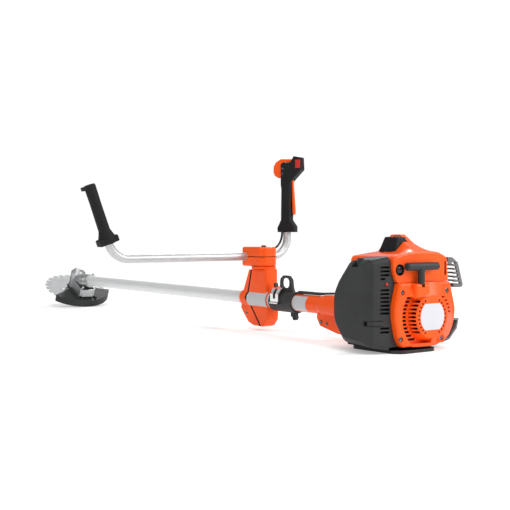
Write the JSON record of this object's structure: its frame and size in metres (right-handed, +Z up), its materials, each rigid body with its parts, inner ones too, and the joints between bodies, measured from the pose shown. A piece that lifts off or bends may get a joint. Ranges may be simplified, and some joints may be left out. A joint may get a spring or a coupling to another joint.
{
  "type": "brush cutter",
  "caption": "Petrol clearing saw with a handlebar, long shaft, harness collar, angle gear, toothed saw blade and half guard.",
  "frame": {"origin": "on the ground under the middle of the machine's bounding box, with the machine resting on its skid and its blade guard", "axes": "+X forward along the shaft towards the saw blade, +Y to the operator's left, +Z up"},
  "size_m": [1.9387, 0.6605, 0.4772],
  "materials": {
    "orange_plastic": "satin moulded, orange",
    "dark_plastic": "fine moulded grain, charcoal",
    "black_rubber": "soft black",
    "red_plastic": "red",
    "grey_plastic": "grey",
    "aluminium_tube": "drawn and anodised",
    "cast_aluminium": "die cast",
    "steel": "ground",
    "dark_steel": "black oxide",
    "filter_felt": "pleated felt",
    "rope": "braided cord"
  },
  "bodies": {
    "engine": {"starter_housing": "orange_plastic", "cylinder_cover": "orange_plastic", "plug_cover": "dark_plastic", "crankcase": "cast_aluminium", "cylinder": "cast_aluminium", "spark_plug": "steel", "ignition_module": "steel", "muffler": "steel", "muffler_guard": "grey_plastic", "carburettor": "cast_aluminium", "air_filter": "filter_felt", "fuel_tank": "dark_plastic", "skid_plate": "dark_plastic", "tank_guard": "dark_plastic", "clutch_housing": "orange_plastic", "shaft_tube": "aluminium_tube", "shaft_sleeve": "orange_plastic", "shaft_bushings": "black_rubber", "cable_conduit": "dark_plastic", "handle_mount_rear": "orange_plastic", "handle_mount_front": "orange_plastic", "gear_housing": "cast_aluminium", "ball_bearings": "steel", "guard_bracket": "cast_aluminium", "blade_guard": "dark_plastic", "screws": "dark_steel", "starter_rope": "rope"},
    "crank": {"crankshaft": "steel", "flywheel": "cast_aluminium", "clutch": "steel"},
    "piston": {"piston": "cast_aluminium", "connecting_rod": "steel"},
    "drive": {"drive_shaft": "steel", "clutch_drum": "steel", "pinion_gear": "steel"},
    "cutter": {"output_shaft": "steel", "crown_gear": "steel", "drive_disc": "steel", "saw_blade": "steel", "support_flange": "steel", "lock_nut": "steel"},
    "pulley": {"starter_pulley": "dark_plastic"},
    "pull": {"starter_handle": "dark_plastic"},
    "handlebar": {"handlebar": "aluminium_tube", "clamp_base": "orange_plastic", "clamp_top": "orange_plastic", "left_grip": "dark_plastic", "throttle_handle_left": "dark_plastic", "throttle_handle_right": "dark_plastic", "handlebar_cable": "black_rubber"},
    "trigger": {"throttle_trigger": "orange_plastic"},
    "lockout": {"throttle_lockout": "orange_plastic"},
    "switch": {"stop_switch": "red_plastic"},
    "filter_cover": {"air_filter_cover": "dark_plastic"},
    "latch": {"cover_latch": "dark_plastic"},
    "choke": {"choke_lever": "dark_plastic"},
    "fuel_cap": {"fuel_cap": "dark_plastic"},
    "purge": {"purge_bulb": "black_rubber"},
    "harness": {"harness_collar": "dark_plastic"},
    "clip": {"collar_latch": "steel"}
  },
  "joints": [
    {"name": "blade_spin", "type": "hinge", "parent": "engine", "child": "cutter", "pos_m": [0.86656, -0.185, 0.06484], "axis": [-0.4171, 0, 0.9089], "continuous": true},
    {"name": "drive_shaft_spin", "type": "hinge", "parent": "engine", "child": "drive", "pos_m": [-0.0684, -0.185, 0.0871], "axis": [0.9999, 0, 0.0114], "continuous": true},
    {"name": "crank_spin", "type": "hinge", "parent": "engine", "child": "crank", "pos_m": [-0.85135, -0.185, 0.07819], "axis": [0.9999, 0, 0.0114], "continuous": true},
    {"name": "piston_slide", "type": "slide", "parent": "engine", "child": "piston", "axis": [-0.0114, 0, 0.9999], "range_m": [-0.032, 0]},
    {"name": "starter_pull", "type": "slide", "parent": "engine", "child": "pull", "axis": [-0.0114, 0, 0.9999], "range_m": [0, 0.65], "deforming": ["starter_rope"]},
    {"name": "starter_pulley_spin", "type": "hinge", "parent": "engine", "child": "pulley", "pos_m": [-0.95934, -0.185, 0.07696], "axis": [0.9999, 0, 0.0114], "range_deg": [0, 1500]},
    {"name": "handlebar_swivel", "type": "hinge", "parent": "engine", "child": "handlebar", "pos_m": [-0.35019, -0.185, 0.1989], "axis": [-0.0114, 0, 0.9999], "range_deg": [-90, 0]},
    {"name": "trigger_squeeze", "type": "hinge", "parent": "handlebar", "child": "trigger", "pos_m": [-0.29967, -0.2945, 0.44349], "axis": [-0.5, 0.866, -0.0057], "range_deg": [0, 14], "stiffness_Nm_per_rad": 0.3, "springref_deg": -20.05},
    {"name": "lockout_squeeze", "type": "hinge", "parent": "handlebar", "child": "lockout", "pos_m": [-0.3218, -0.3075, 0.40924], "axis": [0.5, -0.866, 0.0057], "range_deg": [0, 2.5], "stiffness_Nm_per_rad": 0.3, "springref_deg": -11.46},
    {"name": "stop_switch_press", "type": "slide", "parent": "handlebar", "child": "switch", "axis": [0.5, -0.866, 0.0057], "range_m": [0, 0.0022], "stiffness_N_per_m": 400, "springref_m": -0.002},
    {"name": "filter_cover_off", "type": "slide", "parent": "engine", "child": "filter_cover", "axis": [0, 1, 0], "range_m": [0, 0.09]},
    {"name": "cover_latch_swing", "type": "hinge", "parent": "filter_cover", "child": "latch", "pos_m": [-0.92122, -0.042, 0.06639], "axis": [-0.0114, 0, 0.9999], "range_deg": [-70, 0]},
    {"name": "choke_turn", "type": "hinge", "parent": "filter_cover", "child": "choke", "pos_m": [-0.88665, -0.044, 0.19279], "axis": [0, 1, 0], "range_deg": [0, 30]},
    {"name": "fuel_cap_turn", "type": "hinge", "parent": "engine", "child": "fuel_cap", "pos_m": [-0.78769, -0.235, 0.02091], "axis": [0.9999, 0, 0.0114], "range_deg": [-90, 0]},
    {"name": "purge_press", "type": "slide", "parent": "engine", "child": "purge", "axis": [0.9999, 0, 0.0114], "range_m": [0, 0.005], "stiffness_N_per_m": 300, "springref_m": -0.002},
    {"name": "harness_slide", "type": "slide", "parent": "engine", "child": "harness", "axis": [0.9999, 0, 0.0114], "range_m": [0, 0.01]},
    {"name": "collar_clip_swing", "type": "hinge", "parent": "harness", "child": "clip", "pos_m": [-0.43734, -0.1535, 0.0799], "axis": [0.9999, 0, 0.0114], "range_deg": [-95, 0]}
  ],
  "couplings": [
    {"joint": "drive_shaft_spin", "follows": "blade_spin", "ratio": 1.4},
    {"joint": "starter_pulley_spin", "follows": "starter_pull", "rad_per_m": 40}
  ]
}
